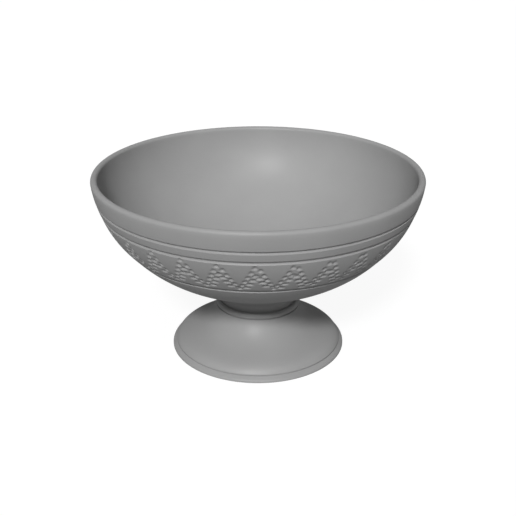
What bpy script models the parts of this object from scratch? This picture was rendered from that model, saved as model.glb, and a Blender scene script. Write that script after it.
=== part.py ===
"""A footed bowl of grey ceramic, as the separate clay pieces that a potter joins with slip.

The bowl drops into a hollow stem by a boss, the stem into a bell-shaped foot by a spigot, and the foot
stands over a key on its base ring. A rounded collar hides the joint between stem and foot. All sizes are
in metres. The origin is on the axis, at the surface that the bowl stands on.
"""

import math

import bmesh
import bpy
import numpy as np

# Joints: a layer of slip, with a clearance to the piece on each side of it
SLIP = 0.0006
CLEARANCE = 0.0003
JOINT = SLIP + 2 * CLEARANCE

# Bowl
RIM_RADIUS = 0.1200  # outside of the wall, at the middle of the lip
BOWL_DEPTH = 0.0884  # lowest point of the underside up to the middle of the lip
BELLY_DEPTH = 0.0968  # lowest point of the underside up to where the wall would stand upright
WALL = 0.0050
FLOOR = 0.0070
BOSS_HEIGHT = 0.0042  # below the lowest point of the underside

# Incised lines round the bowl, from the rim down: a line on its own, then one above and below the frieze
RIM_LINE_DROP = 0.0121  # below the middle of the lip
LINE_GAP = 0.0081
FRIEZE_HEIGHT = 0.0283
LINE_WIDTH = 0.0032
LINE_DEPTH = 0.0009

# Stem
STEM_HEIGHT = 0.0131  # its seat on the foot up to the lowest point of the bowl
STEM_BORE = 0.0185
SPIGOT_WALL = 0.0040
SPIGOT_LENGTH = 0.0050
STEM_SHOULDER = 0.0069  # width of the seat round the spigot
STEM_FLARE = 0.0066  # how far the top stands out beyond the base
STEM_WAIST_INSET = 0.0040  # pull of the curve towards the axis, above the base
STEM_WAIST_RISE = 0.0052
STEM_TOP_SLOPE = math.radians(45)  # of the curve from the horizontal, where it leaves the bowl
STEM_TOP_PULL = 0.0095

# Collar
COLLAR_WIDTH = 0.0034
COLLAR_HEIGHT = 0.0034

# Foot: its side is one S-shaped curve from the deck's edge to the bottom edge
FOOT_HEIGHT = 0.0293
FOOT_RADIUS = 0.0636
FOOT_WALL = 0.0055
FOOT_DECK = 0.0055
THROAT_SLOPE = math.radians(70)  # from the horizontal, under the collar
THROAT_PULL = 0.0224
SHOULDER_SLOPE = math.radians(66)  # from the horizontal, at the bottom edge
SHOULDER_PULL = 0.0104

# Base ring
BASE_LIP = 0.0027  # how far it stands out beyond the foot
BASE_SIDE_HEIGHT = 0.0018  # upright part of its outside
BASE_ROUND_HEIGHT = 0.0016  # rounded part above that
KEY_HEIGHT = 0.0024  # above the foot's bottom edge
KEY_WALL = 0.0027

# Roundness of the solids
SEGMENTS = 48
WALL_STEPS = 16
CURVE_STEPS = 10
ROUND_STEPS = 6
LINE_STEPS = 5
SHARP_ANGLE = math.radians(35)
MERGE_DISTANCE = 1e-6

# Heights, stacked from the floor up
BASE_RING_HEIGHT = BASE_SIDE_HEIGHT + BASE_ROUND_HEIGHT
FOOT_BASE = BASE_RING_HEIGHT + JOINT
FOOT_TOP = FOOT_BASE + FOOT_HEIGHT
DECK_UNDERSIDE = FOOT_TOP - FOOT_DECK
STEM_BASE = FOOT_TOP + JOINT
BOWL_BASE = STEM_BASE + STEM_HEIGHT
LIP_HEIGHT = BOWL_BASE + BOWL_DEPTH
BELLY_HEIGHT = BOWL_BASE + BELLY_DEPTH
RIM_LINE_HEIGHT = LIP_HEIGHT - RIM_LINE_DROP
FRIEZE_TOP_HEIGHT = RIM_LINE_HEIGHT - LINE_GAP
FRIEZE_BOTTOM_HEIGHT = FRIEZE_TOP_HEIGHT - FRIEZE_HEIGHT

# Radii that follow from a neighbour's
BELLY_RADIUS = RIM_RADIUS / math.sqrt(1 - (1 - BOWL_DEPTH / BELLY_DEPTH) ** 2)
BOSS_RADIUS = STEM_BORE - CLEARANCE
SPIGOT_RADIUS = STEM_BORE + SPIGOT_WALL
SPIGOT_HOLE_RADIUS = SPIGOT_RADIUS + CLEARANCE
STEM_BASE_RADIUS = SPIGOT_RADIUS + STEM_SHOULDER
STEM_TOP_RADIUS = STEM_BASE_RADIUS + STEM_FLARE
COLLAR_BORE = STEM_BASE_RADIUS + JOINT
COLLAR_RADIUS = COLLAR_BORE + COLLAR_WIDTH

# Grey clay, fired and unglazed
CLAY_GREY = (0.34, 0.34, 0.34)
SLIP_GREY = (0.26, 0.26, 0.26)
CLAY_ROUGHNESS = 0.55
SLIP_ROUGHNESS = 0.75


def clear_scene():
    for old in list(bpy.data.objects):
        bpy.data.objects.remove(old, do_unlink=True)


def clay(name, grey, roughness):
    """A matt ceramic surface of one grey."""
    material = bpy.data.materials.new(name)
    material.use_nodes = True
    shader = material.node_tree.nodes["Principled BSDF"]
    shader.inputs["Base Color"].default_value = (*grey, 1.0)
    shader.inputs["Roughness"].default_value = roughness
    shader.inputs["Metallic"].default_value = 0.0
    return material


def turned(name, outline, material, parent):
    """A piece turned on the wheel: an outline of (radius, height) points, spun round the Z axis.

    The outline closes on itself, or along the axis where both its ends lie on it.
    """
    shape = bmesh.new()
    points = [shape.verts.new((radius, 0.0, height)) for radius, height in outline]
    edges = [shape.edges.new(pair) for pair in zip(points, points[1:])]
    if outline[0][0] > 0.0:
        edges.append(shape.edges.new((points[-1], points[0])))
    bmesh.ops.spin(
        shape,
        geom=points + edges,
        cent=(0.0, 0.0, 0.0),
        axis=(0.0, 0.0, 1.0),
        angle=2 * math.pi,
        steps=SEGMENTS,
        use_merge=True,
    )
    bmesh.ops.remove_doubles(shape, verts=shape.verts, dist=MERGE_DISTANCE)
    mesh = bpy.data.meshes.new(name)
    shape.to_mesh(mesh)
    shape.free()
    mesh.shade_smooth()
    mesh.set_sharp_from_angle(angle=SHARP_ANGLE)
    mesh.materials.append(material)
    piece = bpy.data.objects.new(name, mesh)
    piece.parent = parent
    bpy.context.scene.collection.objects.link(piece)
    return piece


def washer(inner, outer, bottom, top):
    """Outline of a flat ring."""
    return [(inner, top), (outer, top), (outer, bottom), (inner, bottom)]


def bezier(start, start_handle, end_handle, end, steps):
    """Points of a cubic curve from start to end, both included."""
    t = np.linspace(0.0, 1.0, steps + 1)[:, None]
    weights = ((1 - t) ** 3, 3 * t * (1 - t) ** 2, 3 * t**2 * (1 - t), t**3)
    corners = (start, start_handle, end_handle, end)
    return sum(weight * np.array(corner) for weight, corner in zip(weights, corners))


def underside(radius):
    """Height of the bowl's outer ellipse near its bottom, at a radius."""
    return BELLY_HEIGHT - BELLY_DEPTH * np.sqrt(1 - (radius / BELLY_RADIUS) ** 2)


def bowl_outside():
    """Outer wall from the lip down to the boss: an ellipse, with the incised lines pressed into it."""
    lip_angle = math.asin((BELLY_HEIGHT - LIP_HEIGHT) / BELLY_DEPTH)
    boss_angle = math.acos(BOSS_RADIUS / BELLY_RADIUS)
    angles = np.linspace(lip_angle, boss_angle, WALL_STEPS + 1)
    depths = np.zeros_like(angles)
    for height in (RIM_LINE_HEIGHT, FRIEZE_TOP_HEIGHT, FRIEZE_BOTTOM_HEIGHT):
        middle = math.asin((BELLY_HEIGHT - height) / BELLY_DEPTH)
        metres_per_radian = math.hypot(BELLY_RADIUS * math.sin(middle), BELLY_DEPTH * math.cos(middle))
        share = np.linspace(-0.5, 0.5, LINE_STEPS)
        line = middle + share * LINE_WIDTH / metres_per_radian
        clear = np.abs(angles - middle) * metres_per_radian > LINE_WIDTH
        angles = np.concatenate([angles[clear], line])
        depths = np.concatenate([depths[clear], LINE_DEPTH * np.cos(math.pi * share) ** 2])
    order = np.argsort(angles)
    angles = angles[order]
    depths = depths[order, None]
    wall = np.column_stack([BELLY_RADIUS * np.cos(angles), BELLY_HEIGHT - BELLY_DEPTH * np.sin(angles)])
    outward = np.column_stack([np.cos(angles) / BELLY_RADIUS, -np.sin(angles) / BELLY_DEPTH])
    outward /= np.linalg.norm(outward, axis=1)[:, None]
    return wall - depths * outward


def bowl_outline():
    """From the middle of the floor up the inside, over the round lip and down the outside to the boss."""
    inner_radius = BELLY_RADIUS - WALL
    inner_depth = BELLY_DEPTH - FLOOR
    lip_angle = math.asin((BELLY_HEIGHT - LIP_HEIGHT) / inner_depth)
    angles = np.linspace(math.pi / 2, lip_angle, WALL_STEPS + 1)[1:]
    inside = np.column_stack([inner_radius * np.cos(angles), BELLY_HEIGHT - inner_depth * np.sin(angles)])
    outside = bowl_outside()
    lip_radius = (outside[0, 0] - inside[-1, 0]) / 2
    turns = np.linspace(math.pi, 0.0, ROUND_STEPS + 1)[1:-1]
    lip = np.column_stack([np.cos(turns), np.sin(turns)]) * lip_radius
    lip += (inside[-1, 0] + lip_radius, LIP_HEIGHT)
    boss_bottom = BOWL_BASE - BOSS_HEIGHT
    floor_middle = (0.0, BELLY_HEIGHT - inner_depth)
    return [floor_middle, *inside, *lip, *outside, (BOSS_RADIUS, boss_bottom), (0.0, boss_bottom)]


def stem_outline():
    """A hollow spool: its top follows the bowl's underside, and its spigot reaches into the foot."""
    seat_radii = np.linspace(STEM_BORE, STEM_TOP_RADIUS, ROUND_STEPS)
    seat = np.column_stack([seat_radii, underside(seat_radii) - JOINT])
    collar_top = STEM_BASE + COLLAR_HEIGHT
    flare = STEM_TOP_PULL * np.array((math.cos(STEM_TOP_SLOPE), math.sin(STEM_TOP_SLOPE)))
    waist = bezier(
        seat[-1],
        seat[-1] - flare,
        (STEM_BASE_RADIUS - STEM_WAIST_INSET, collar_top + STEM_WAIST_RISE),
        (STEM_BASE_RADIUS, collar_top),
        CURVE_STEPS,
    )
    spigot_bottom = STEM_BASE - SPIGOT_LENGTH
    base = [(STEM_BASE_RADIUS, STEM_BASE), (SPIGOT_RADIUS, STEM_BASE)]
    spigot = [(SPIGOT_RADIUS, spigot_bottom), (STEM_BORE, spigot_bottom)]
    return [*seat, *waist[1:], *base, *spigot]


def bowl_slip_outline():
    """A thin dish between the bowl's underside and the top of the stem."""
    radii = np.linspace(STEM_BORE + CLEARANCE, STEM_TOP_RADIUS - CLEARANCE, ROUND_STEPS)
    top = np.column_stack([radii, underside(radii) - CLEARANCE])
    bottom = top[::-1] - (0.0, SLIP)
    return [*top, *bottom]


def collar_outline():
    """A quarter-round bead, flat against the stem and the foot's deck."""
    turns = np.linspace(0.0, math.pi / 2, ROUND_STEPS + 1)
    radii = COLLAR_BORE + COLLAR_WIDTH * np.sin(turns)
    bead = np.column_stack([radii, STEM_BASE + COLLAR_HEIGHT * np.cos(turns)])
    return [*bead, (COLLAR_BORE, STEM_BASE)]


def foot_side():
    """The bell-shaped outside of the foot, from the deck's edge down to the bottom edge."""
    top = np.array((COLLAR_RADIUS, FOOT_TOP))
    bottom = np.array((FOOT_RADIUS, FOOT_BASE))
    throat = THROAT_PULL * np.array((math.cos(THROAT_SLOPE), -math.sin(THROAT_SLOPE)))
    shoulder = SHOULDER_PULL * np.array((-math.cos(SHOULDER_SLOPE), math.sin(SHOULDER_SLOPE)))
    return bezier(top, top + throat, bottom + shoulder, bottom, CURVE_STEPS)


def foot_inner_radius(height):
    """Radius of the hollow inside the foot at a height: the outside, moved in by the wall."""
    side = foot_side()
    along = np.gradient(side, axis=0)
    along /= np.linalg.norm(along, axis=1)[:, None]
    inward = np.column_stack([along[:, 1], -along[:, 0]])
    hollow = (side + FOOT_WALL * inward)[::-1]
    return np.interp(height, hollow[:, 1], hollow[:, 0])


def foot_outline():
    """A hollow bell with a flat deck on top, which has a hole for the stem's spigot."""
    deck_edge = (SPIGOT_HOLE_RADIUS, FOOT_TOP)
    heights = np.linspace(FOOT_BASE, DECK_UNDERSIDE, CURVE_STEPS + 1)
    hollow = np.column_stack([foot_inner_radius(heights), heights])
    return [deck_edge, *foot_side(), *hollow, (SPIGOT_HOLE_RADIUS, DECK_UNDERSIDE)]


def key_radius():
    """Outside of the base ring's key, which clears the foot's hollow at the key's top."""
    return foot_inner_radius(FOOT_BASE + KEY_HEIGHT) - CLEARANCE


def base_ring_outline():
    """A flat ring with a rounded outer edge, and a key that rises inside the foot."""
    key = key_radius()
    key_top = FOOT_BASE + KEY_HEIGHT
    turns = np.linspace(0.0, math.pi / 2, ROUND_STEPS + 1)
    radii = FOOT_RADIUS + BASE_LIP * np.sin(turns)
    edge = np.column_stack([radii, BASE_SIDE_HEIGHT + BASE_ROUND_HEIGHT * np.cos(turns)])
    seat = [(key - KEY_WALL, key_top), (key, key_top), (key, BASE_RING_HEIGHT)]
    return [*seat, *edge, (edge[-1, 0], 0.0), (key - KEY_WALL, 0.0)]


def main():
    clear_scene()
    whole = bpy.data.objects.new("footed_bowl", None)
    bpy.context.scene.collection.objects.link(whole)

    clay_pieces = {
        "bowl": bowl_outline(),
        "stem": stem_outline(),
        "collar": collar_outline(),
        "foot": foot_outline(),
        "base_ring": base_ring_outline(),
    }
    slip_pieces = {
        "bowl_slip": bowl_slip_outline(),
        "foot_slip": washer(
            SPIGOT_HOLE_RADIUS,
            COLLAR_RADIUS - CLEARANCE,
            FOOT_TOP + CLEARANCE,
            FOOT_TOP + CLEARANCE + SLIP,
        ),
        "collar_slip": washer(
            STEM_BASE_RADIUS + CLEARANCE,
            STEM_BASE_RADIUS + CLEARANCE + SLIP,
            STEM_BASE,
            STEM_BASE + COLLAR_HEIGHT - CLEARANCE,
        ),
        "base_ring_slip": washer(
            key_radius() + CLEARANCE,
            FOOT_RADIUS - CLEARANCE,
            BASE_RING_HEIGHT + CLEARANCE,
            BASE_RING_HEIGHT + CLEARANCE + SLIP,
        ),
    }
    for name, outline in clay_pieces.items():
        turned(name, outline, clay(name + "_clay", CLAY_GREY, CLAY_ROUGHNESS), whole)
    for name, outline in slip_pieces.items():
        turned(name, outline, clay(name + "_clay", SLIP_GREY, SLIP_ROUGHNESS), whole)


main()
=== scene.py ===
"""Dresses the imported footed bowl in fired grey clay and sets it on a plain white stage.

Every piece is turned: an outline of (radius, height) points is carried round the upright axis. Only the
bowl's frieze departs from that, where two rows of stamped dents follow a zigzag round the wall.
All sizes are in metres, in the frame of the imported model.
"""

import math

import bpy
import numpy as np
from bpy.props import FloatProperty, FloatVectorProperty, IntProperty, PointerProperty
from bpy.types import Operator, Panel, PropertyGroup
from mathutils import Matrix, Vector


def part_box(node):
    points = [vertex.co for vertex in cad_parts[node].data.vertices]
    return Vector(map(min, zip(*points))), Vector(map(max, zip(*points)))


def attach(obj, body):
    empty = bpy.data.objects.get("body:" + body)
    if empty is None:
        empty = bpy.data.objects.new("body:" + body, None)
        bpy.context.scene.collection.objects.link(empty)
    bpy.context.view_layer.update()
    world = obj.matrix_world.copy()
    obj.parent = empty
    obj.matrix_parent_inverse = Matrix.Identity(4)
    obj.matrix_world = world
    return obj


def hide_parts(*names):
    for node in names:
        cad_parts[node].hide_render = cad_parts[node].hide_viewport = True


bl_info = {
    "name": "Footed Bowl",
    "version": (1, 0, 0),
    "blender": (4, 5, 0),
    "location": "View3D > Sidebar > Footed Bowl",
    "description": "Makes a stamped clay bowl on a waisted stem and a bell-shaped foot",
    "category": "Add Mesh",
}

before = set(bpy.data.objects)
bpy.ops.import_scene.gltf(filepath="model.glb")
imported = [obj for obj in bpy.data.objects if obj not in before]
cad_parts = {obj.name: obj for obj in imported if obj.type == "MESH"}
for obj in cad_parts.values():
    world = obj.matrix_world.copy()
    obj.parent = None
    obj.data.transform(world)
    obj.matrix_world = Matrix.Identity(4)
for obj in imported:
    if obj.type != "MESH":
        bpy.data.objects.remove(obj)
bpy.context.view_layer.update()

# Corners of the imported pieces, which the new ones keep to
BOWL_LOW, BOWL_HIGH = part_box("bowl")
STEM_LOW, STEM_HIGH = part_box("stem")
COLLAR_LOW, COLLAR_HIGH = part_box("collar")
FOOT_LOW, FOOT_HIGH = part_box("foot")
RING_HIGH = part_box("base_ring")[1]

# The photo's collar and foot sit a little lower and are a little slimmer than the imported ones
SEAT_DROP = 0.0010
COLLAR_TRIM = 0.0018
FOOT_TRIM = 0.0003

# The room
FLOOR_SIZE = 12.0
LAMP_DISTANCE = 3.0

# Texture of the clay
CLOUDS_PER_METRE = 28.0
FLECKS_PER_METRE = 1500.0
RINGS_PER_METRE = 420.0
GRAINS_PER_METRE = 2600.0
CLOUD_SHARE = 0.65  # of the light and dark; the rest is flecks
TONE_LOW = -0.5  # the tones are spread past 0 and 1, which strengthens them
TONE_HIGH = 1.5
ROUGHNESS_SPREAD = 0.06

# Fineness of the meshes
COLUMNS_PER_STAMP = 3
STAMP_COLUMNS_PER_WALL_COLUMN = 6
TURNED_COLUMNS = 192
ARC_SAMPLES = 4001
INSIDE_ROWS = 40
LIP_ROWS = 12
WALL_ROW = 0.0030
LINE_ROWS = 10
FRIEZE_LINE_ROWS = 6
LINE_GUARD = 0.0002  # from a line's edge to the nearest ring of the plain wall
FRIEZE_ROWS = 68
CURVE_ROWS = 40
ROUND_ROWS = 10
FLAT_ROWS = 3
STAMP_REACH = 3  # stamps on either side whose dents can reach a point
SHARP_ANGLE = math.radians(50)
SAME_POINT = 1e-7


def length(name, default, description):
    """A size in metres that a user may change."""
    return FloatProperty(name=name, default=default, description=description, unit="LENGTH", min=0.0)


def turn(name, degrees, description):
    """An angle that a user may change."""
    return FloatProperty(
        name=name,
        default=math.radians(degrees),
        description=description,
        unit="ROTATION",
        subtype="ANGLE",
    )


def share(name, default, description):
    """A share from 0 to 1 that a user may change."""
    return FloatProperty(
        name=name,
        default=default,
        description=description,
        subtype="FACTOR",
        min=0.0,
        max=1.0,
    )


def lamp_strength(name, default, description):
    """The strength of a lamp, in watts on a square metre that faces it."""
    return FloatProperty(name=name, default=default, description=description, min=0.0)


class BowlSizes(PropertyGroup):
    """Sizes of the bowl and its incised lines"""

    rim_radius: length("Rim radius", BOWL_HIGH.x, "Outside of the wall at the middle of the lip")
    lip_top: length("Lip top", BOWL_HIGH.z, "Height of the lip above the floor")
    boss_bottom: length("Boss bottom", BOWL_LOW.z, "Height of the boss that drops into the stem")
    boss_radius: length("Boss radius", 0.0182, "Radius of the boss that drops into the stem")
    lip_drop: length("Lip drop", 0.002526, "From the top of the lip down to its middle")
    depth: length("Depth", 0.0884, "Lowest point of the underside up to the middle of the lip")
    belly_depth: length("Belly depth", 0.0968, "Lowest point up to where the wall would stand upright")
    wall: length("Wall", 0.0050, "Thickness of the wall at the belly")
    floor: length("Floor", 0.0070, "Thickness of the bowl's floor")
    rim_line_at: length("Rim line", 0.01318, "Way down the wall to the line under the rim")
    rim_line_above: length("Rim line above", 0.0019, "Width of the upper side of the rim line")
    rim_line_below: length("Rim line below", 0.00092, "Width of the lower side of the rim line")
    rim_line_depth: length("Rim line depth", 0.00112, "Depth of the rim line")
    top_line_at: length("Top line", 0.02170, "Way down the wall to the line over the frieze")
    top_line_above: length("Top line above", 0.0022, "Width of the upper side of the top line")
    top_line_below: length("Top line below", 0.00105, "Width of the lower side of the top line")
    top_line_depth: length("Top line depth", 0.00108, "Depth of the top line")
    bottom_line_at: length("Bottom line", 0.05418, "Way down the wall to the line under the frieze")
    bottom_line_above: length("Bottom line above", 0.0027, "Width of the upper side of the bottom line")
    bottom_line_below: length("Bottom line below", 0.0015, "Width of the lower side of the bottom line")
    bottom_line_depth: length("Bottom line depth", 0.0021, "Depth of the bottom line")


class FriezeSizes(PropertyGroup):
    """Sizes of the zigzag of stamped dents"""

    chevrons: IntProperty(
        name="Chevrons",
        default=29,
        min=3,
        description="Points of the zigzag round the bowl",
    )
    stamps: IntProperty(
        name="Stamps",
        default=322,
        min=40,
        description="Stamped dents round the bowl in each row",
    )
    first_peak: turn("First peak", -0.335, "Turn of the first point of the zigzag from the front")
    first_stamp: turn("First stamp", 0.504, "Turn of the first dent from the front")
    peak_drop: length("Peak drop", 0.00335, "Line above the frieze down to the dents at a peak")
    swing: length("Swing", 0.02615, "Peak down to valley of the zigzag")
    row_gap: length("Row gap", 0.0077, "Upper row of dents down to the lower row")
    lowest: length("Lowest dent", 0.02865, "Line above the frieze down to the lowest dent")
    upper_width: length("Upper dent width", 0.0036, "Width of a dent of the upper row")
    lower_width: length("Lower dent width", 0.0052, "Width of a dent of the lower row")
    outward: length("Outward", 0.0007, "Shift of the upper row's dents away from their peak")
    dent_above: length("Dent above", 0.0031, "Height of the long upper side of a dent")
    dent_below: length("Dent below", 0.0008, "Height of the steep lower side of a dent")
    dent_depth: length("Dent depth", 0.0011, "Depth of a dent")
    recess: length("Recess", 0.00018, "How far the wall lies in at the two lines of the frieze")
    fade: length("Fade", 0.0140, "Width above and below the lines in which the recess fades out")
    swell: length("Swell", 0.00037, "How far the wall swells out again between the lines")


class PedestalSizes(PropertyGroup):
    """Sizes of the stem, the collar, the foot, the base ring and the seams"""

    seam: length("Seam", 0.0012, "Height of a joint that slip fills")
    foot_seam_sag: length("Foot seam sag", 0.0013, "Pull of the hollow edge under the collar")
    base_seam_sag: length("Base seam sag", 0.0002, "Pull of the hollow edge under the foot")
    stem_top_radius: length("Stem top radius", STEM_HIGH.x, "Radius of the stem under the bowl")
    stem_bottom: length("Stem bottom", STEM_LOW.z, "Height of the spigot's end inside the foot")
    stem_base_radius: length("Stem base radius", 0.0286, "Radius of the stem inside the collar")
    stem_bore: length("Stem bore", 0.0185, "Radius of the hollow of the stem")
    spigot_radius: length("Spigot radius", 0.0225, "Radius of the spigot that drops into the foot")
    waist_inset: length("Waist inset", 0.0040, "Pull of the stem's curve towards the axis")
    waist_rise: length("Waist rise", 0.0052, "Pull of the stem's curve up from the collar")
    flare: length("Flare", 0.0095, "Pull of the stem's curve away from the bowl")
    collar_base: length("Collar base", COLLAR_LOW.z - SEAT_DROP, "Height of the collar's underside")
    collar_top: length("Collar top", COLLAR_HIGH.z - SEAT_DROP, "Height of the collar's top")
    collar_bore: length("Collar bore", 0.0296, "Inner radius of the collar")
    collar_radius: length("Collar radius", COLLAR_HIGH.x - COLLAR_TRIM, "Outer radius of the collar")
    foot_base: length("Foot base", FOOT_LOW.z, "Height of the foot's bottom edge")
    foot_top: length("Foot top", FOOT_HIGH.z - SEAT_DROP, "Height of the foot's deck")
    foot_radius: length("Foot radius", FOOT_HIGH.x - FOOT_TRIM, "Radius of the foot's bottom edge")
    foot_wall: length("Foot wall", 0.0055, "Thickness of the foot")
    throat_pull: length("Throat pull", 0.0217, "Reach of the steep curve under the collar")
    throat_slope: turn("Throat slope", 68.6, "Slope of the foot under the collar, from the level")
    shoulder_pull: length("Shoulder pull", 0.0093, "Reach of the round curve above the bottom edge")
    shoulder_slope: turn("Shoulder slope", 57.2, "Slope of the foot above its rounded bottom edge")
    edge_height: length("Edge height", 0.00164, "Height of the rounding at the foot's bottom edge")
    edge_inset: length("Edge inset", 0.00078, "Width of the rounding at the foot's bottom edge")
    ring_radius: length("Ring radius", RING_HIGH.x, "Outer radius of the base ring")
    ring_side: length("Ring side", 0.0007, "Height of the upright side of the base ring")
    ring_top: length("Ring top", 0.0037, "Height of the base ring under the foot's edge")
    slope_reach: length("Slope reach", 0.0014, "Pull of the base ring's slope out from the foot's edge")
    slope_drop: length("Slope drop", 0.0011, "Pull of the base ring's slope down from the foot's edge")
    ring_round: length("Ring round", 0.0011, "Pull of the base ring's rounded edge up from its side")
    key_top: length("Key top", RING_HIGH.z, "Height of the key inside the foot")
    key_radius: length("Key radius", 0.0527, "Outside of the key inside the foot")
    key_wall: length("Key wall", 0.0027, "Thickness of the key")


class ClayFinish(PropertyGroup):
    """Colours and surface of the clay and the slip"""

    clay: FloatVectorProperty(
        name="Clay",
        description="Colour of the fired clay",
        default=(0.34, 0.34, 0.34),
        subtype="COLOR",
        min=0.0,
        max=1.0,
    )
    slip: FloatVectorProperty(
        name="Slip",
        description="Colour of the fired slip in the joints",
        default=(0.30, 0.30, 0.30),
        subtype="COLOR",
        min=0.0,
        max=1.0,
    )
    roughness: share("Roughness", 0.43, "Roughness of the clay")
    sheen: share("Sheen", 0.048, "Strength of the burnished clay's sheen, which has no bright edge")
    clouding: share("Clouding", 0.05, "Strength of the soft light and dark clouds in the clay")
    grain_depth: length("Grain depth", 0.00002, "Depth of the fine grain")
    ring_depth: length("Ring depth", 0.000004, "Depth of the faint turning lines")


class StudioSettings(PropertyGroup):
    """The camera, the lamps and the floor"""

    camera_distance: length("Camera distance", 0.6522, "Camera to the point that it looks at")
    camera_rise: turn("Camera rise", 24.016, "Height of the camera, as an angle above the level")
    aim_height: length("Aim height", 0.069122, "Height of the point that the camera looks at")
    lens: FloatProperty(
        name="Lens",
        default=60.084,
        min=1.0,
        description="Focal length in millimetres",
        unit="CAMERA",
    )
    key_turn: turn("Key turn", -10.0, "Turn of the key lamp from the front, to the right")
    key_rise: turn("Key rise", 38.9, "Height of the key lamp, as an angle above the level")
    key_spread: turn("Key spread", 9.0, "Width of the key lamp, as an angle seen from the bowl")
    key_strength: lamp_strength("Key strength", 2.51, "Strength of the key lamp")
    soft_turn: turn("Soft turn", 0.0, "Turn of the soft lamp from the front, to the right")
    soft_rise: turn("Soft rise", 55.0, "Height of the soft lamp, as an angle above the level")
    soft_spread: turn("Soft spread", 40.0, "Width of the soft lamp, as an angle seen from the bowl")
    soft_strength: lamp_strength("Soft strength", 0.40, "Strength of the soft lamp")
    ambient: share("Ambient", 0.185, "Strength of the light from all round")
    floor_bounce: share("Floor bounce", 0.39, "Share of the light that the floor throws back up")
    floor_glow: share("Floor glow", 0.92, "White of the floor where no light falls")
    floor_shade: share("Floor shade", 0.12, "How strongly the floor shows the object's shadow")


class FootedBowlSettings(PropertyGroup):
    """All the settings of the footed bowl"""

    bowl: PointerProperty(name="Bowl", description="Sizes of the bowl", type=BowlSizes)
    frieze: PointerProperty(name="Frieze", description="Sizes of the frieze", type=FriezeSizes)
    pedestal: PointerProperty(name="Pedestal", description="Sizes below the bowl", type=PedestalSizes)
    finish: PointerProperty(name="Finish", description="Finish of the clay", type=ClayFinish)
    studio: PointerProperty(name="Studio", description="Camera, lamps and floor", type=StudioSettings)


# Outlines


def bezier(start, start_handle, end_handle, end, rows):
    """A cubic curve: the four points weighted by (1-t)^3, 3t(1-t)^2, 3t^2(1-t) and t^3."""
    t = np.linspace(0.0, 1.0, rows + 1)[:, None]
    weights = ((1 - t) ** 3, 3 * t * (1 - t) ** 2, 3 * t**2 * (1 - t), t**3)
    corners = (start, start_handle, end_handle, end)
    return sum(weight * np.array(corner) for weight, corner in zip(weights, corners))


def line(start, end, rows=FLAT_ROWS):
    """Evenly spaced points from start to end, both included."""
    return np.linspace(start, end, rows + 1)


def ellipse_arc(centre, width, height, first, last, rows):
    """Points of an ellipse: centre plus width cos a and height sin a, with a from first to last."""
    a = np.linspace(first, last, rows + 1)
    return np.array(centre) + np.column_stack([width * np.cos(a), height * np.sin(a)])


def offset(outline, distance):
    """An outline moved to the left of its direction by a distance."""
    along = np.gradient(outline, axis=0)
    along /= np.linalg.norm(along, axis=1)[:, None]
    return outline + distance * np.column_stack([-along[:, 1], along[:, 0]])


class Wall:
    """The bowl's outer wall: the lower part of an ellipsoid, measured by the way down from the lip."""

    def __init__(self, sizes):
        self.lip_height = sizes.lip_top - sizes.lip_drop
        self.bottom = self.lip_height - sizes.depth
        self.depth = sizes.belly_depth
        self.centre = self.bottom + sizes.belly_depth
        above = 1 - sizes.depth / sizes.belly_depth
        self.radius = sizes.rim_radius / math.sqrt(1 - above**2)
        self.angles = np.linspace(math.asin(above), math.pi / 2, ARC_SAMPLES)
        steps = np.linalg.norm(np.diff(self.at_angle(self.angles), axis=0), axis=1)
        self.way = np.concatenate([[0.0], np.cumsum(steps)])

    def at_angle(self, angles):
        """Radius times cosine out from the axis, depth times sine down from the belly."""
        radius = self.radius * np.cos(angles)
        height = self.centre - self.depth * np.sin(angles)
        return np.stack([radius, height], axis=-1)

    def pressed(self, way, dent):
        """Points at a way down the wall, moved in square to it by a dent."""
        angles = np.interp(way, self.way, self.angles)
        outward = np.stack([np.cos(angles) / self.radius, -np.sin(angles) / self.depth], axis=-1)
        outward /= np.linalg.norm(outward, axis=-1, keepdims=True)
        return self.at_angle(angles) - np.asarray(dent)[..., None] * outward

    def way_at_radius(self, radius):
        """The way down the wall to where it has a radius."""
        return np.interp(math.acos(radius / self.radius), self.angles, self.way)

    def underside(self, radius):
        """Height of the wall near its bottom at a radius."""
        return self.centre - self.depth * np.sqrt(1 - (np.asarray(radius) / self.radius) ** 2)


def line_depth(way, deepest, above, below, depth):
    """Depth of an incised line: half a parabola on each side of its deepest point."""
    across = np.where(way < deepest, (deepest - way) / above, (way - deepest) / below)
    return depth * np.clip(1 - across**2, 0.0, None)


def line_edges(deepest, above, below):
    """Ways down the wall to the upper and the lower edge of an incised line."""
    return deepest - above, deepest + below


def incised(way, sizes):
    """Depth of the three incised lines at a way down the wall."""
    rim = (sizes.rim_line_at, sizes.rim_line_above, sizes.rim_line_below, sizes.rim_line_depth)
    top = (sizes.top_line_at, sizes.top_line_above, sizes.top_line_below, sizes.top_line_depth)
    bottom = (
        sizes.bottom_line_at,
        sizes.bottom_line_above,
        sizes.bottom_line_below,
        sizes.bottom_line_depth,
    )
    return sum(line_depth(way, *shape) for shape in (rim, top, bottom))


def ground(way, sizes, frieze):
    """How far the wall lies in round the frieze.

    It is a recess, which fades out evenly above and below the frieze's two lines, less a swell between
    them: half a sine wave.
    """
    height = sizes.bottom_line_at - sizes.top_line_at
    place = (way - sizes.top_line_at) / height
    outside = height * np.maximum(np.maximum(-place, place - 1), 0.0)
    recess = frieze.recess * np.clip(1 - outside / frieze.fade, 0.0, 1.0)
    return recess - frieze.swell * np.sin(math.pi * np.clip(place, 0.0, 1.0))


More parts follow.
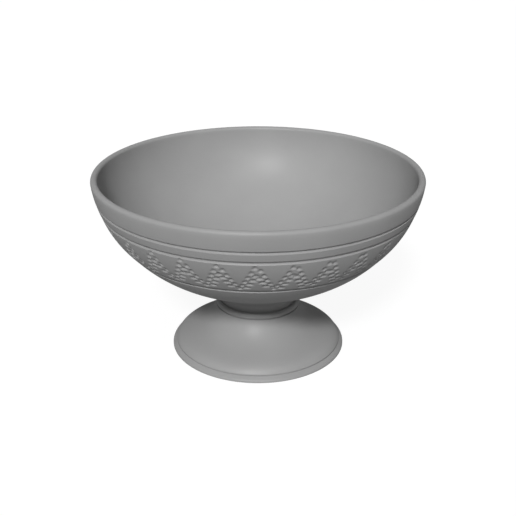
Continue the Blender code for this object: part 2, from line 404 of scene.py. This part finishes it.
def stamped(turns, way, radius, sizes, frieze):
    """Depth of the stamped frieze at a turn round the wall and a way down it.

    The stamps stand at equal turns. Each row lies on a zigzag, which drops evenly from a peak to a
    valley and rises again. A dent is pressed in at a slant: its depth is one minus the cubed way to
    its side and minus the squared way to its long upper or its steep lower edge. Where dents meet the
    deeper one counts. Dents that would cut the lower line are left out.
    """
    stamp_turn = 2 * math.pi / frieze.stamps
    peak_turn = 2 * math.pi / frieze.chevrons
    nearest = np.round((turns - frieze.first_stamp) / stamp_turn)
    depth = np.zeros(np.broadcast(turns, way).shape)
    for neighbour in range(-STAMP_REACH, STAMP_REACH + 1):
        stamp = frieze.first_stamp + (nearest + neighbour) * stamp_turn
        peaks = (stamp - frieze.first_peak) / peak_turn
        from_peak = peaks - np.round(peaks)
        fall = 2 * np.abs(from_peak)
        aside = (turns - stamp) * radius
        for row in range(2):
            width = frieze.lower_width if row else frieze.upper_width
            outward = 0.0 if row else frieze.outward * np.sign(from_peak)
            drop = frieze.peak_drop + frieze.swing * fall + row * frieze.row_gap
            across = 2 * np.abs(aside - outward) / width
            down = way - sizes.top_line_at - drop
            down = np.where(down < 0, -down / frieze.dent_above, down / frieze.dent_below)
            dent = frieze.dent_depth * np.clip(1 - across**3 - down**2, 0.0, None)
            depth = np.maximum(depth, np.where(drop < frieze.lowest, dent, 0.0))
    return depth


def spaced(start, end, spacing):
    """Evenly spaced ways from start to end, both included, about a spacing apart."""
    return np.linspace(start, end, max(2, round((end - start) / spacing) + 1))


# Meshes


def carried_round(outline, turns):
    """Carries an outline round the axis: x is radius sin turn, y is minus radius cos turn."""
    radius = outline[..., 0]
    height = outline[..., 1] + 0 * turns
    return np.stack([radius * np.sin(turns), -radius * np.cos(turns), height], axis=-1)


def strips(upper, lower, columns):
    """Quads between pairs of rings, each given by the number of its first point."""
    here = np.arange(columns)
    there = np.roll(here, -1)
    upper = np.reshape(upper, (-1, 1))
    lower = np.reshape(lower, (-1, 1))
    return np.stack([upper + here, lower + here, lower + there, upper + there], axis=-1).reshape(-1, 4)


def block(first, rows, columns):
    """Quads of a block of rings that follow one another from a first point on."""
    starts = first + columns * np.arange(rows)
    return strips(starts[:-1], starts[1:], columns)


def cap(pole, ring, columns, pole_first):
    """Triangles from a pole to a ring, the pole at the start of the outline or at its end."""
    here = ring + np.arange(columns)
    there = np.roll(here, -1)
    middle = np.full(columns, pole)
    return np.column_stack([middle, here, there] if pole_first else [here, middle, there])


def fan(coarse, fine, columns, ratio, coarse_first):
    """Triangles between a coarse ring and one with ratio times its columns.

    Each coarse point takes the fine steps of half a column on both its sides, and one triangle
    joins each pair of coarse points to the fine point between them.
    """
    fine_columns = columns * ratio
    step = np.arange(fine_columns)
    owner = (step + ratio // 2) // ratio % columns
    spokes = np.column_stack([coarse + owner, fine + step, fine + (step + 1) % fine_columns])
    here = np.arange(columns)
    between = here * ratio + ratio // 2
    bridges = np.column_stack([coarse + here, fine + between, coarse + (here + 1) % columns])
    triangles = np.concatenate([spokes, bridges])
    return triangles if coarse_first else triangles[:, ::-1]


def mesh_piece(name, points, quads, triangles, material):
    """A smooth mesh object of quads and triangles, at the origin."""
    mesh = bpy.data.meshes.new(name)
    corners = np.concatenate([quads.ravel(), triangles.ravel()])
    quad_starts = 4 * np.arange(len(quads))
    triangle_starts = quads.size + 3 * np.arange(len(triangles))
    starts = np.concatenate([quad_starts, triangle_starts])
    mesh.vertices.add(len(points))
    mesh.vertices.foreach_set("co", points.astype(np.float32).ravel())
    mesh.loops.add(len(corners))
    mesh.loops.foreach_set("vertex_index", corners.astype(np.int32))
    mesh.polygons.add(len(quads) + len(triangles))
    mesh.polygons.foreach_set("loop_start", starts.astype(np.int32))
    mesh.update(calc_edges=True)
    if mesh.validate():
        raise RuntimeError(f"the mesh of {name} has faulty faces")
    mesh.shade_smooth()
    mesh.set_sharp_from_angle(angle=SHARP_ANGLE)
    mesh.materials.append(material)
    piece = bpy.data.objects.new(name, mesh)
    bpy.context.scene.collection.objects.link(piece)
    return piece


def turned_ring(name, outline, material):
    """A ring-shaped piece: a closed outline carried round the axis."""
    turns = np.linspace(0.0, 2 * math.pi, TURNED_COLUMNS, endpoint=False)
    points = carried_round(outline[:, None, :], turns).reshape(-1, 3)
    starts = TURNED_COLUMNS * np.arange(len(outline))
    quads = strips(starts, np.roll(starts, -1), TURNED_COLUMNS)
    return mesh_piece(name, points, quads, np.zeros((0, 3), int), material)


def joined(*parts):
    """One outline from several, with points that repeat the one before left out."""
    outline = np.concatenate([np.atleast_2d(part) for part in parts])
    step = np.linalg.norm(outline - np.roll(outline, 1, axis=0), axis=1)
    return outline[step > SAME_POINT]


def stamped_bowl(sizes, frieze, material):
    """The bowl: coarse rings inside, over the lip and below the frieze, and fine ones at the dents."""
    wall = Wall(sizes)
    inner_radius = wall.radius - sizes.wall
    inner_depth = wall.depth - sizes.floor
    inner_lip = math.asin((wall.centre - wall.lip_height) / inner_depth)
    middle = (0.0, wall.centre)
    inside = ellipse_arc(middle, inner_radius, -inner_depth, math.pi / 2, inner_lip, INSIDE_ROWS)
    lip_middle = ((inside[-1, 0] + sizes.rim_radius) / 2, wall.lip_height)
    lip_width = (sizes.rim_radius - inside[-1, 0]) / 2
    lip = ellipse_arc(lip_middle, lip_width, sizes.lip_drop, math.pi, 0.0, LIP_ROWS)

    rim_line = line_edges(sizes.rim_line_at, sizes.rim_line_above, sizes.rim_line_below)
    top_line = line_edges(sizes.top_line_at, sizes.top_line_above, sizes.top_line_below)
    bottom_line = line_edges(sizes.bottom_line_at, sizes.bottom_line_above, sizes.bottom_line_below)
    above = np.concatenate([
        spaced(0.0, rim_line[0] - LINE_GUARD, WALL_ROW)[1:],
        np.linspace(rim_line[0], sizes.rim_line_at, LINE_ROWS + 1)[:-1],
        np.linspace(sizes.rim_line_at, rim_line[1], LINE_ROWS + 1),
        spaced(rim_line[1] + LINE_GUARD, top_line[0] - LINE_GUARD, WALL_ROW),
        np.linspace(top_line[0], sizes.top_line_at, LINE_ROWS + 1),
    ])
    band = np.concatenate([
        np.linspace(sizes.top_line_at, top_line[1], FRIEZE_LINE_ROWS + 1)[1:-1],
        np.linspace(top_line[1], bottom_line[0], FRIEZE_ROWS + 1),
        np.linspace(bottom_line[0], sizes.bottom_line_at, FRIEZE_LINE_ROWS + 1)[1:-1],
    ])
    below = np.concatenate([
        np.linspace(sizes.bottom_line_at, bottom_line[1], LINE_ROWS + 1),
        spaced(bottom_line[1] + LINE_GUARD, wall.way_at_radius(sizes.boss_radius), WALL_ROW),
    ])

    fine_columns = frieze.stamps * COLUMNS_PER_STAMP
    columns = fine_columns // STAMP_COLUMNS_PER_WALL_COLUMN
    fine_turns = frieze.first_stamp + 2 * math.pi * np.arange(fine_columns) / fine_columns
    turns = fine_turns[::STAMP_COLUMNS_PER_WALL_COLUMN]

    outside = wall.pressed(above, incised(above, sizes) + ground(above, sizes, frieze))
    upper = np.concatenate([inside[1:], lip[1:], outside])
    boss = line((sizes.boss_radius, wall.bottom), (sizes.boss_radius, sizes.boss_bottom))[1:]
    underside = wall.pressed(below, incised(below, sizes) + ground(below, sizes, frieze))
    lower = np.concatenate([underside, boss])
    way = band[:, None]
    dents = stamped(fine_turns, way, wall.pressed(way, 0 * way)[..., 0], sizes, frieze)
    dents = np.maximum(dents, incised(way, sizes)) + ground(way, sizes, frieze)
    stamps = carried_round(wall.pressed(way + 0 * dents, dents), fine_turns)

    points = np.concatenate([
        [(0.0, 0.0, inside[0, 1])],
        carried_round(upper[:, None, :], turns).reshape(-1, 3),
        stamps.reshape(-1, 3),
        carried_round(lower[:, None, :], turns).reshape(-1, 3),
        [(0.0, 0.0, sizes.boss_bottom)],
    ])
    stamps_first = 1 + len(upper) * columns
    lower_first = stamps_first + len(band) * fine_columns
    last_ring = lower_first + (len(lower) - 1) * columns
    quads = np.concatenate([
        block(1, len(upper), columns),
        block(stamps_first, len(band), fine_columns),
        block(lower_first, len(lower), columns),
    ])
    ratio = STAMP_COLUMNS_PER_WALL_COLUMN
    triangles = np.concatenate([
        cap(0, 1, columns, pole_first=True),
        fan(stamps_first - columns, stamps_first, columns, ratio, coarse_first=True),
        fan(lower_first, lower_first - fine_columns, columns, ratio, coarse_first=False),
        cap(len(points) - 1, last_ring, columns, pole_first=False),
    ])
    return mesh_piece("stamped_bowl", points, quads, triangles, material)


def stem_waist(sizes, wall):
    """The stem's waist: a curve that leaves the bowl inwards at 45 degrees and flares to the collar."""
    top = np.array((sizes.stem_top_radius, wall.underside(sizes.stem_top_radius) - sizes.seam))
    away = sizes.flare * math.cos(math.radians(45))
    base = np.array((sizes.stem_base_radius, sizes.collar_top))
    return bezier(top, top - away, base + (-sizes.waist_inset, sizes.waist_rise), base, CURVE_ROWS)


def waisted_stem(sizes, wall, material):
    """The stem: a seat under the bowl, the waist, a shoulder on the foot, the spigot and the bore."""
    radii = np.linspace(sizes.stem_bore, sizes.stem_top_radius, ROUND_ROWS + 1)
    seat = np.column_stack([radii, wall.underside(radii) - sizes.seam])
    outline = joined(
        seat,
        stem_waist(sizes, wall),
        line((sizes.stem_base_radius, sizes.collar_top), (sizes.stem_base_radius, sizes.collar_base)),
        line((sizes.stem_base_radius, sizes.collar_base), (sizes.spigot_radius, sizes.collar_base)),
        line((sizes.spigot_radius, sizes.collar_base), (sizes.spigot_radius, sizes.stem_bottom)),
        line((sizes.spigot_radius, sizes.stem_bottom), (sizes.stem_bore, sizes.stem_bottom)),
        line((sizes.stem_bore, sizes.stem_bottom), seat[0]),
    )
    return turned_ring("waisted_stem", outline, material)


def rounded_collar(sizes, material):
    """The collar: a quarter of an ellipse, flat against the stem and the foot."""
    width = sizes.collar_radius - sizes.collar_bore
    height = sizes.collar_top - sizes.collar_base
    corner = (sizes.collar_bore, sizes.collar_base)
    outline = joined(
        ellipse_arc(corner, width, height, math.pi / 2, 0.0, 2 * ROUND_ROWS),
        line((sizes.collar_radius, sizes.collar_base), corner),
        line(corner, (sizes.collar_bore, sizes.collar_top)),
    )
    return turned_ring("rounded_collar", outline, material)


def foot_side(sizes):
    """The foot's outside: an S-shaped curve, and a small rounding at the bottom."""
    top = np.array((sizes.collar_radius, sizes.foot_top))
    edge = np.array((sizes.foot_radius - sizes.edge_inset, sizes.foot_base + sizes.edge_height))
    bottom = np.array((sizes.foot_radius, sizes.foot_base))
    throat = sizes.throat_pull * np.array((math.cos(sizes.throat_slope), -math.sin(sizes.throat_slope)))
    slope = np.array((-math.cos(sizes.shoulder_slope), math.sin(sizes.shoulder_slope)))
    bell = bezier(top, top + throat, edge + sizes.shoulder_pull * slope, edge, CURVE_ROWS)
    reach = sizes.edge_height / 2
    rounding = bezier(edge, edge - reach * slope, bottom + (0.0, reach), bottom, ROUND_ROWS)
    return joined(bell, rounding[1:])


def spigot_hole(sizes):
    """Radius of the hole in the foot's deck, a quarter of a seam wider than the spigot."""
    return sizes.spigot_radius + sizes.seam / 4


def bell_foot(sizes, material):
    """The foot: the outside, a flat bottom edge, the hollow at the wall's distance, and the deck."""
    side = foot_side(sizes)
    hollow = offset(side, -sizes.foot_wall)[::-1]
    deck_bottom = sizes.foot_top - sizes.foot_wall
    hollow = hollow[(hollow[:, 1] > sizes.foot_base) & (hollow[:, 1] < deck_bottom)]
    hole = spigot_hole(sizes)
    outline = joined(
        line((hole, sizes.foot_top), side[0]),
        side,
        line(side[-1], (hollow[0, 0], sizes.foot_base)),
        hollow,
        line((hollow[-1, 0], deck_bottom), (hole, deck_bottom)),
        line((hole, deck_bottom), (hole, sizes.foot_top)),
    )
    return turned_ring("bell_foot", outline, material)


def standing_ring(sizes, material):
    """The base ring: a slope that rounds over to an upright side, a flat base and the key inside."""
    top = np.array((sizes.foot_radius, sizes.ring_top))
    side = np.array((sizes.ring_radius, sizes.ring_side))
    slope = top + (sizes.slope_reach, -sizes.slope_drop)
    inner = sizes.key_radius - sizes.key_wall
    outline = joined(
        line((inner, sizes.key_top), (sizes.key_radius, sizes.key_top)),
        line((sizes.key_radius, sizes.key_top), (sizes.key_radius, sizes.ring_top)),
        line((sizes.key_radius, sizes.ring_top), top),
        bezier(top, slope, side + (0.0, sizes.ring_round), side, 2 * ROUND_ROWS),
        line(side, (sizes.ring_radius, 0.0)),
        line((sizes.ring_radius, 0.0), (inner, 0.0)),
        line((inner, 0.0), (inner, sizes.key_top)),
    )
    return turned_ring("standing_ring", outline, material)


def bowl_seam(sizes, wall, material):
    """The slip under the bowl: a dish whose outer edge is a hollow fillet from the bowl to the stem."""
    reach = sizes.stem_top_radius + sizes.seam
    radii = np.linspace(sizes.stem_bore, reach, ROUND_ROWS + 1)
    top = np.column_stack([radii, wall.underside(radii)])
    stem_edge = np.array((sizes.stem_top_radius, wall.underside(sizes.stem_top_radius) - sizes.seam))
    corner = (sizes.stem_top_radius, wall.underside(sizes.stem_top_radius))
    fillet = bezier(top[-1], corner, stem_edge + (0.0, sizes.seam / 3), stem_edge, ROUND_ROWS)
    under = np.linspace(sizes.stem_top_radius, sizes.stem_bore, ROUND_ROWS + 1)
    bottom = np.column_stack([under, wall.underside(under) - sizes.seam])
    return turned_ring("bowl_seam", joined(top, fillet, bottom, line(bottom[-1], top[0])), material)


def ring_seam(name, inner, outer, bottom, top, sag, material):
    """A seam: a flat ring whose outer face is hollowed by a shallow curve."""
    hollow = (outer - sag, (bottom + top) / 2)
    outline = joined(
        line((inner, top), (outer, top)),
        bezier((outer, top), hollow, hollow, (outer, bottom), ROUND_ROWS),
        line((outer, bottom), (inner, bottom)),
        line((inner, bottom), (inner, top)),
    )
    return turned_ring(name, outline, material)


def collar_seam(sizes, material):
    """The slip between stem and collar: a sleeve whose top is a hollow fillet."""
    inner = sizes.stem_base_radius
    outer = sizes.collar_bore
    top = sizes.collar_top
    crest = (inner, top + sizes.seam / 4)
    corner = (inner + sizes.seam / 4, top - sizes.seam / 3)
    outline = joined(
        bezier(crest, corner, corner, (outer, top), ROUND_ROWS),
        line((outer, top), (outer, sizes.collar_base)),
        line((outer, sizes.collar_base), (inner, sizes.collar_base)),
        line((inner, sizes.collar_base), crest),
    )
    return turned_ring("collar_seam", outline, material)


# Materials


def node(tree, kind, inputs=None, **settings):
    """A new shader node with its settings, and its inputs set or linked."""
    made = tree.nodes.new(kind)
    for name, value in settings.items():
        setattr(made, name, value)
    for name, value in (inputs or {}).items():
        if isinstance(value, bpy.types.NodeSocket):
            tree.links.new(value, made.inputs[name])
        else:
            made.inputs[name].default_value = value
    return made


def new_material(name):
    """An empty node material with its output node."""
    material = bpy.data.materials.new(name)
    material.use_nodes = True
    material.node_tree.nodes.clear()
    return material, material.node_tree, material.node_tree.nodes.new("ShaderNodeOutputMaterial")


def noise(tree, place, scale, detail):
    """Noise from 0 to 1 at a place, with a number of blobs to the metre."""
    made = node(tree, "ShaderNodeTexNoise", {"Vector": place, "Scale": scale, "Detail": detail})
    return made.outputs["Fac"]


def between(tree, value, low, high):
    """A value from 0 to 1, spread from low to high."""
    made = node(tree, "ShaderNodeMapRange", {"Value": value, "To Min": low, "To Max": high})
    return made.outputs["Result"]


def maths(tree, operation, first, second):
    """Two numbers put together by one operation."""
    return node(tree, "ShaderNodeMath", {0: first, 1: second}, operation=operation).outputs[0]


def fired_clay(name, colour, finish):
    """Fired clay: soft clouds and fine flecks of light and dark, turning lines and a fine grain."""
    material, tree, output = new_material(name)
    place = node(tree, "ShaderNodeTexCoord").outputs["Object"]
    level = node(tree, "ShaderNodeVectorMath", {0: place, 1: (1.0, 1.0, 0.0)}, operation="MULTIPLY")
    radius = node(tree, "ShaderNodeVectorMath", {0: level.outputs[0]}, operation="LENGTH")
    height = node(tree, "ShaderNodeSeparateXYZ", {0: place}).outputs["Z"]
    across = node(tree, "ShaderNodeCombineXYZ", {"X": radius.outputs["Value"], "Z": height}).outputs[0]

    clouds = noise(tree, place, CLOUDS_PER_METRE, detail=4.0)
    flecks = noise(tree, place, FLECKS_PER_METRE, detail=2.0)
    rings = noise(tree, across, RINGS_PER_METRE, detail=3.0)
    grain = noise(tree, place, GRAINS_PER_METRE, detail=3.0)

    soft = maths(tree, "MULTIPLY", clouds, CLOUD_SHARE)
    fine = maths(tree, "MULTIPLY", flecks, 1 - CLOUD_SHARE)
    tone = maths(tree, "ADD", soft, fine)
    dark = (*[channel * (1 - finish.clouding) for channel in colour], 1.0)
    light = (*[channel * (1 + finish.clouding) for channel in colour], 1.0)
    shades = node(
        tree,
        "ShaderNodeMix",
        {"Factor": between(tree, tone, TONE_LOW, TONE_HIGH), "A": dark, "B": light},
        data_type="RGBA",
    )

    smoothest = finish.roughness - ROUGHNESS_SPREAD
    roughest = finish.roughness + ROUGHNESS_SPREAD
    roughness = between(tree, clouds, smoothest, roughest)
    ring_bump = node(
        tree,
        "ShaderNodeBump",
        {"Height": rings, "Strength": 1.0, "Distance": finish.ring_depth},
    )
    grain_bump = node(
        tree,
        "ShaderNodeBump",
        {
            "Height": grain,
            "Strength": 1.0,
            "Distance": finish.grain_depth,
            "Normal": ring_bump.outputs["Normal"],
        },
    )
    shader = node(
        tree,
        "ShaderNodeBsdfPrincipled",
        {
            "Base Color": shades.outputs["Result"],
            "Roughness": roughness,
            "Metallic": finish.sheen,
            "Specular IOR Level": 0.0,
            "Normal": grain_bump.outputs["Normal"],
        },
    )
    tree.links.new(shader.outputs[0], output.inputs["Surface"])
    return material


def seen_directly(tree):
    """One where the camera sees the surface, also in a reflection or through glass, else nothing."""
    path = node(tree, "ShaderNodeLightPath").outputs
    mirrored = maths(tree, "MAXIMUM", path["Is Glossy Ray"], path["Is Transmission Ray"])
    return maths(tree, "MAXIMUM", path["Is Camera Ray"], mirrored)


def white_floor(studio):
    """A floor that looks white and takes a faint shadow, and throws back a set share of the light."""
    material, tree, output = new_material("white_floor")
    glow = node(tree, "ShaderNodeEmission", {"Strength": studio.floor_glow})
    shade = node(tree, "ShaderNodeBsdfDiffuse", {"Color": (*[studio.floor_shade] * 3, 1.0)})
    seen = node(tree, "ShaderNodeAddShader", {0: glow.outputs[0], 1: shade.outputs[0]})
    bounce = node(tree, "ShaderNodeBsdfDiffuse", {"Color": (*[studio.floor_bounce] * 3, 1.0)})
    both = node(
        tree,
        "ShaderNodeMixShader",
        {0: seen_directly(tree), 1: bounce.outputs[0], 2: seen.outputs[0]},
    )
    tree.links.new(both.outputs[0], output.inputs["Surface"])
    return material


# Stage


def camera_place(studio):
    """Where the camera stands, square in front of the bowl and raised."""
    level = studio.camera_distance * math.cos(studio.camera_rise)
    height = studio.aim_height + studio.camera_distance * math.sin(studio.camera_rise)
    return Vector((0.0, -level, height))


def aimed(name, data, place, target):
    """An object at a place that looks at a target."""
    made = bpy.data.objects.new(name, data)
    made.location = place
    made.rotation_euler = (Vector(target) - Vector(place)).to_track_quat("-Z", "Y").to_euler()
    bpy.context.scene.collection.objects.link(made)
    return made


def set_camera(studio):
    """The camera at the photo's angle, with its aim at the middle of the picture."""
    camera = bpy.data.cameras.new("camera")
    camera.lens = studio.lens
    target = (0.0, 0.0, studio.aim_height)
    bpy.context.scene.camera = aimed("camera", camera, camera_place(studio), target)


def hang_lamp(name, turn_to, rise, spread, strength):
    """A wide, far lamp that shines at the bowl, from a turn to the right of the front and a rise."""
    data = bpy.data.lights.new(name, "SUN")
    data.angle = spread
    data.energy = strength
    level = LAMP_DISTANCE * math.cos(rise)
    place = (level * math.sin(turn_to), -level * math.cos(turn_to), LAMP_DISTANCE * math.sin(rise))
    aimed(name, data, place, (0.0, 0.0, 0.0))


def set_world(studio):
    """Even light from all round, seen as white."""
    world = bpy.data.worlds.new("white_room")
    world.use_nodes = True
    tree = world.node_tree
    tree.nodes.clear()
    strength = between(tree, seen_directly(tree), studio.ambient, 1.0)
    white = (1.0, 1.0, 1.0, 1.0)
    background = node(tree, "ShaderNodeBackground", {"Color": white, "Strength": strength})
    output = node(tree, "ShaderNodeOutputWorld")
    tree.links.new(background.outputs[0], output.inputs["Surface"])
    bpy.context.scene.world = world


def lay_floor(studio):
    """A wide flat floor under the base ring."""
    half = FLOOR_SIZE / 2
    points = np.array([(-half, -half, 0.0), (half, -half, 0.0), (half, half, 0.0), (-half, half, 0.0)])
    quads = np.array([[0, 1, 2, 3]])
    floor = mesh_piece("floor", points, quads, np.zeros((0, 3), int), white_floor(studio))


# Operators


def stands_for(piece, cad_node):
    """Puts a piece on the one body and hides the CAD node that it stands for."""
    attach(piece, "root")
    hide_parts(cad_node)


class FOOTED_BOWL_OT_bowl(Operator):
    """Make the bowl, with its incised lines and its stamped frieze"""

    bl_idname = "footed_bowl.bowl"
    bl_label = "Bowl"

    def execute(self, context):
        settings = context.scene.footed_bowl
        clay = fired_clay("bowl_clay", settings.finish.clay, settings.finish)
        stands_for(stamped_bowl(settings.bowl, settings.frieze, clay), "bowl")
        return {"FINISHED"}


class FOOTED_BOWL_OT_stem(Operator):
    """Make the waisted stem under the bowl"""

    bl_idname = "footed_bowl.stem"
    bl_label = "Stem"

    def execute(self, context):
        settings = context.scene.footed_bowl
        clay = fired_clay("stem_clay", settings.finish.clay, settings.finish)
        stem = waisted_stem(settings.pedestal, Wall(settings.bowl), clay)
        stands_for(stem, "stem")
        return {"FINISHED"}


class FOOTED_BOWL_OT_collar(Operator):
    """Make the rounded collar round the bottom of the stem"""

    bl_idname = "footed_bowl.collar"
    bl_label = "Collar"

    def execute(self, context):
        settings = context.scene.footed_bowl
        clay = fired_clay("collar_clay", settings.finish.clay, settings.finish)
        stands_for(rounded_collar(settings.pedestal, clay), "collar")
        return {"FINISHED"}


class FOOTED_BOWL_OT_foot(Operator):
    """Make the hollow bell-shaped foot"""

    bl_idname = "footed_bowl.foot"
    bl_label = "Foot"

    def execute(self, context):
        settings = context.scene.footed_bowl
        clay = fired_clay("foot_clay", settings.finish.clay, settings.finish)
        stands_for(bell_foot(settings.pedestal, clay), "foot")
        return {"FINISHED"}


class FOOTED_BOWL_OT_base_ring(Operator):
    """Make the ring that the foot stands on"""

    bl_idname = "footed_bowl.base_ring"
    bl_label = "Base Ring"

    def execute(self, context):
        settings = context.scene.footed_bowl
        clay = fired_clay("base_ring_clay", settings.finish.clay, settings.finish)
        stands_for(standing_ring(settings.pedestal, clay), "base_ring")
        return {"FINISHED"}


class FOOTED_BOWL_OT_seams(Operator):
    """Make the seams of slip between the clay pieces"""

    bl_idname = "footed_bowl.seams"
    bl_label = "Seams"

    def execute(self, context):
        settings = context.scene.footed_bowl
        sizes = settings.pedestal
        slip = fired_clay("joint_slip", settings.finish.slip, settings.finish)
        under_bowl = bowl_seam(sizes, Wall(settings.bowl), slip)
        on_foot = ring_seam(
            "foot_seam",
            spigot_hole(sizes),
            sizes.collar_radius,
            sizes.foot_top,
            sizes.collar_base,
            sizes.foot_seam_sag,
            slip,
        )
        on_ring = ring_seam(
            "base_seam",
            sizes.key_radius,
            sizes.foot_radius,
            sizes.ring_top,
            sizes.foot_base,
            sizes.base_seam_sag,
            slip,
        )
        stands_for(under_bowl, "bowl_slip")
        stands_for(on_foot, "foot_slip")
        stands_for(collar_seam(sizes, slip), "collar_slip")
        stands_for(on_ring, "base_ring_slip")
        return {"FINISHED"}


class FOOTED_BOWL_OT_stage(Operator):
    """Set the floor, the lamps, the white room and the camera"""

    bl_idname = "footed_bowl.stage"
    bl_label = "Stage"

    def execute(self, context):
        studio = context.scene.footed_bowl.studio
        context.scene.view_settings.view_transform = "Standard"
        lay_floor(studio)
        set_world(studio)
        key = (studio.key_turn, studio.key_rise, studio.key_spread, studio.key_strength)
        soft = (studio.soft_turn, studio.soft_rise, studio.soft_spread, studio.soft_strength)
        hang_lamp("key_lamp", *key)
        hang_lamp("soft_lamp", *soft)
        set_camera(studio)
        return {"FINISHED"}


OPERATORS = (
    FOOTED_BOWL_OT_bowl,
    FOOTED_BOWL_OT_stem,
    FOOTED_BOWL_OT_collar,
    FOOTED_BOWL_OT_foot,
    FOOTED_BOWL_OT_base_ring,
    FOOTED_BOWL_OT_seams,
    FOOTED_BOWL_OT_stage,
)


class VIEW3D_PT_footed_bowl(Panel):
    """Lists the pieces of the bowl in the order in which they are made"""

    bl_label = "Footed Bowl"
    bl_space_type = "VIEW_3D"
    bl_region_type = "UI"
    bl_category = "Footed Bowl"

    def draw(self, context):
        for operator in OPERATORS:
            self.layout.operator(operator.bl_idname)


CLASSES = (
    BowlSizes,
    FriezeSizes,
    PedestalSizes,
    ClayFinish,
    StudioSettings,
    FootedBowlSettings,
    *OPERATORS,
    VIEW3D_PT_footed_bowl,
)


def register():
    """Makes the settings, the operators and the panel known to Blender."""
    for made in CLASSES:
        bpy.utils.register_class(made)
    bpy.types.Scene.footed_bowl = PointerProperty(type=FootedBowlSettings)


def unregister():
    """Takes them out again."""
    del bpy.types.Scene.footed_bowl
    for made in reversed(CLASSES):
        bpy.utils.unregister_class(made)


def main():
    """Makes all the pieces and the stage."""
    register()
    bpy.ops.footed_bowl.bowl()
    bpy.ops.footed_bowl.stem()
    bpy.ops.footed_bowl.collar()
    bpy.ops.footed_bowl.foot()
    bpy.ops.footed_bowl.base_ring()
    bpy.ops.footed_bowl.seams()
    bpy.ops.footed_bowl.stage()


if __name__ == "__main__":
    main()
